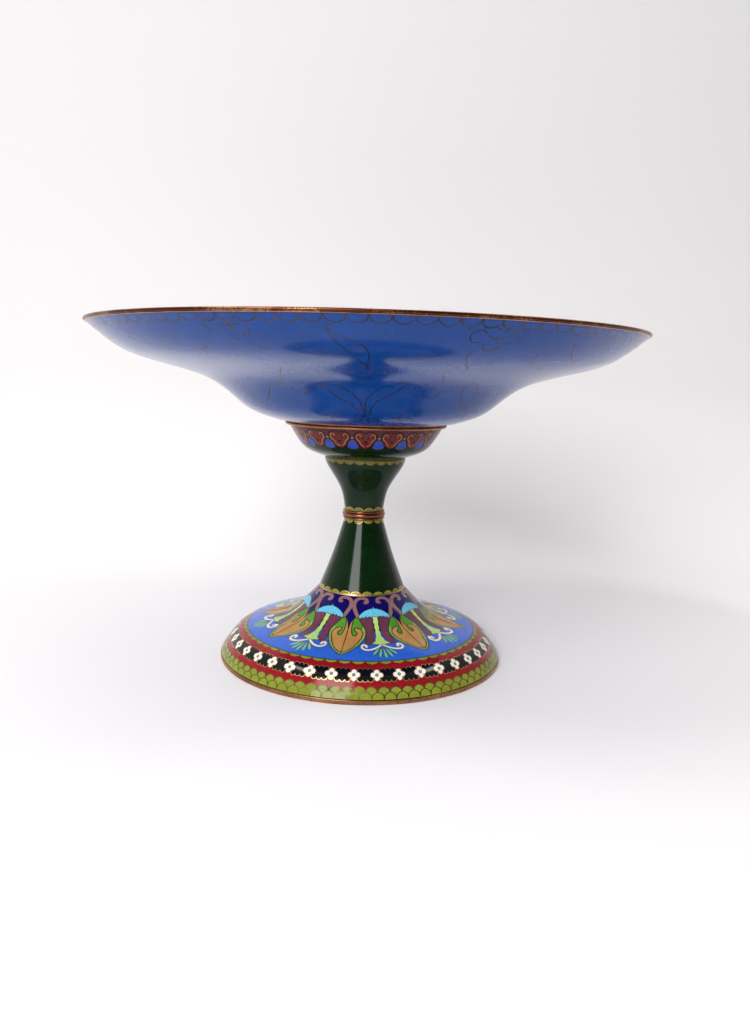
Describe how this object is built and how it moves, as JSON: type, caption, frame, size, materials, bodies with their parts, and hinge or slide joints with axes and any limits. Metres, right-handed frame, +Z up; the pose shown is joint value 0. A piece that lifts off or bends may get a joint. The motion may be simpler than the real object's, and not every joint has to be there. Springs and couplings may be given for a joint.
{
  "type": "footed fruit bowl",
  "caption": "Wide shallow enamelled copper bowl with a turned-up lip on a waisted pedestal with a spreading hollow foot.",
  "frame": {"origin": "centre of the underside of the foot", "axes": "+Z up through the bowl, the axis of the turned form; X and Y are free, as the form is round"},
  "size_m": [0.3, 0.3, 0.1863],
  "materials": {
    "blue_enamel": "polished vitreous enamel with thin copper wires",
    "green_enamel": "polished vitreous enamel, dark mottled green",
    "foot_enamel": "polished vitreous enamel in many colours between copper wires",
    "copper": "worn and darkened gilt copper"
  },
  "bodies": {
    "root": {"foot_rim": "copper", "foot": "foot_enamel", "waist_ring": "copper", "stem_cup": "green_enamel", "collar_ring": "copper", "bowl": "blue_enamel", "bowl_rim": "copper"}
  },
  "joints": []
}
